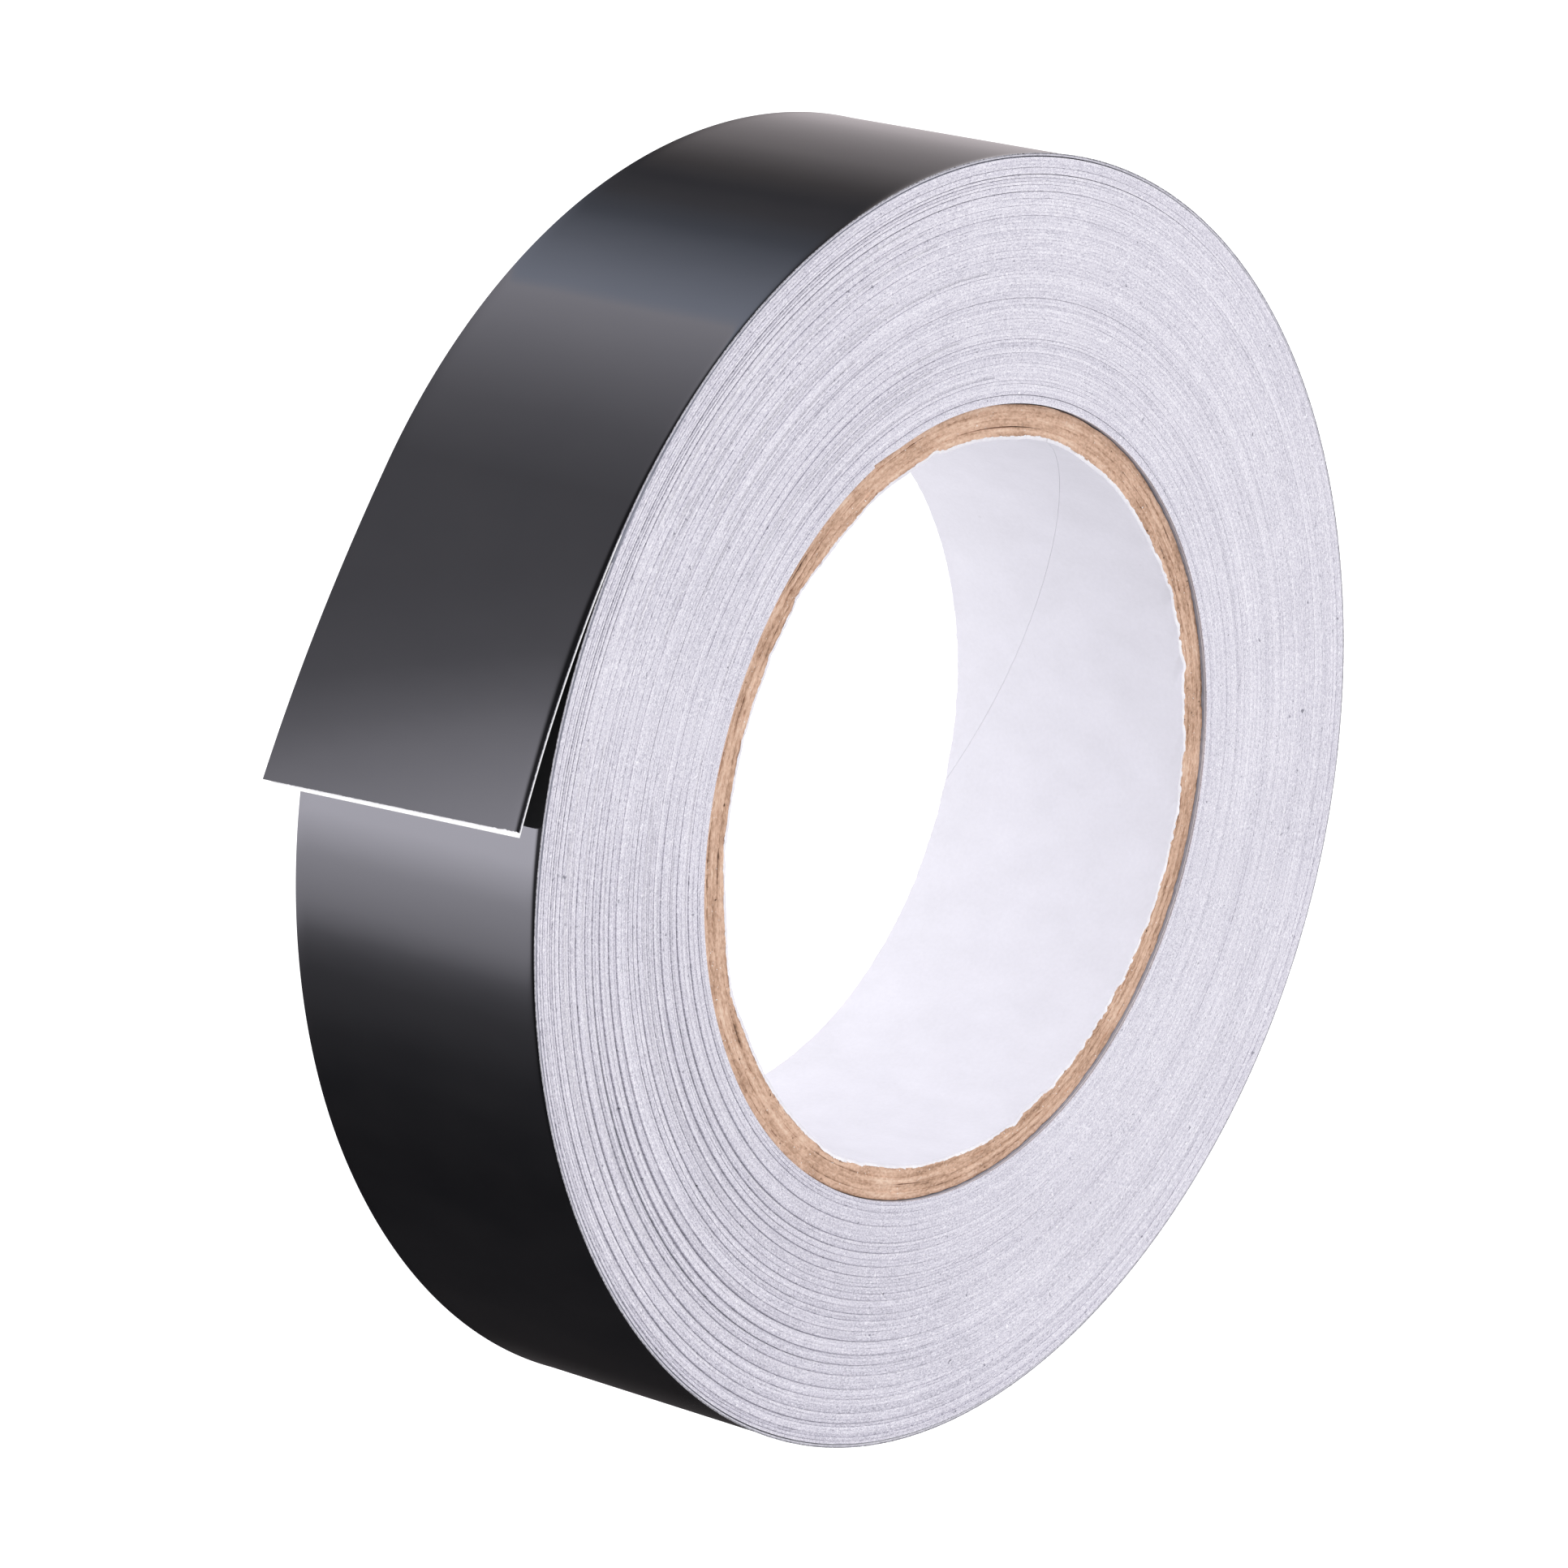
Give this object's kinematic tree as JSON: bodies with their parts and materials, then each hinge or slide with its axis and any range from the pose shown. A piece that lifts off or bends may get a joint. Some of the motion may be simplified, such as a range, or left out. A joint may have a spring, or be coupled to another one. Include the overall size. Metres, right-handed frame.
{
  "type": "foil tape roll",
  "caption": "Roll of glossy black-faced foil tape with a white paper release liner, wound on a brown paper core, its free end lifted.",
  "frame": {"origin": "on the roll's axis, in the plane of its back face, which it lies on", "axes": "+Z along the roll's axis, up through the core to the front face; -Y towards the side where the free end lifts"},
  "size_m": [0.1322, 0.1342, 0.031],
  "materials": {
    "black_foil": "smooth glossy black coating on thin metal foil",
    "release_liner": "smooth white silicone-coated paper",
    "wound_edges": "fine grained silver grey, the slit edges of foil and liner packed turn on turn",
    "kraft_board": "cut brown kraft board with fibres and specks",
    "white_paper": "matte white paper"
  },
  "bodies": {
    "roll": {"core_white_inner_ply": "white_paper", "core_kraft_ply_1": "kraft_board", "core_kraft_ply_2": "kraft_board", "core_kraft_ply_3": "kraft_board", "core_kraft_ply_4": "kraft_board", "packed_winding": "wound_edges", "last_turn_foil": "black_foil", "last_turn_liner": "release_liner"},
    "tail_1": {"tail_foil_1": "black_foil", "tail_liner_1": "release_liner"},
    "tail_2": {"tail_foil_2": "black_foil", "tail_liner_2": "release_liner"},
    "tail_3": {"tail_foil_3": "black_foil", "tail_liner_3": "release_liner"},
    "tail_4": {"tail_foil_4": "black_foil", "tail_liner_4": "release_liner"},
    "tail_5": {"tail_foil_5": "black_foil", "tail_liner_5": "release_liner"},
    "tail_6": {"tail_foil_6": "black_foil", "tail_liner_6": "release_liner"},
    "foil_flap": {"tail_foil_flap": "black_foil"}
  },
  "joints": [
    {"name": "tail_peel", "type": "hinge", "parent": "roll", "child": "tail_1", "pos_m": [-0.01488, -0.06446, 0.0155], "axis": [0, 0, -1], "range_deg": [-0.9, 9]},
    {"name": "tail_bend_2", "type": "hinge", "parent": "tail_1", "child": "tail_2", "pos_m": [-0.01078, -0.06535, 0.0155], "axis": [0, 0, -1], "range_deg": [-1.8, 18]},
    {"name": "tail_bend_3", "type": "hinge", "parent": "tail_2", "child": "tail_3", "pos_m": [-0.00665, -0.0661, 0.0155], "axis": [0, 0, -1], "range_deg": [-1.8, 18]},
    {"name": "tail_bend_4", "type": "hinge", "parent": "tail_3", "child": "tail_4", "pos_m": [-0.00249, -0.06673, 0.0155], "axis": [0, 0, -1], "range_deg": [-1.8, 18]},
    {"name": "tail_bend_5", "type": "hinge", "parent": "tail_4", "child": "tail_5", "pos_m": [0.00168, -0.06724, 0.0155], "axis": [0, 0, -1], "range_deg": [-1.8, 18]},
    {"name": "tail_bend_6", "type": "hinge", "parent": "tail_5", "child": "tail_6", "pos_m": [0.00586, -0.06761, 0.0155], "axis": [0, 0, -1], "range_deg": [-1.8, 18]},
    {"name": "foil_peel", "type": "hinge", "parent": "tail_6", "child": "foil_flap", "pos_m": [0.00745, -0.06779, 0.0155], "axis": [0, 0, -1], "range_deg": [0, 90]}
  ],
  "couplings": [
    {"joint": "tail_bend_2", "follows": "tail_peel", "ratio": 2},
    {"joint": "tail_bend_3", "follows": "tail_peel", "ratio": 2},
    {"joint": "tail_bend_4", "follows": "tail_peel", "ratio": 2},
    {"joint": "tail_bend_5", "follows": "tail_peel", "ratio": 2},
    {"joint": "tail_bend_6", "follows": "tail_peel", "ratio": 2}
  ]
}
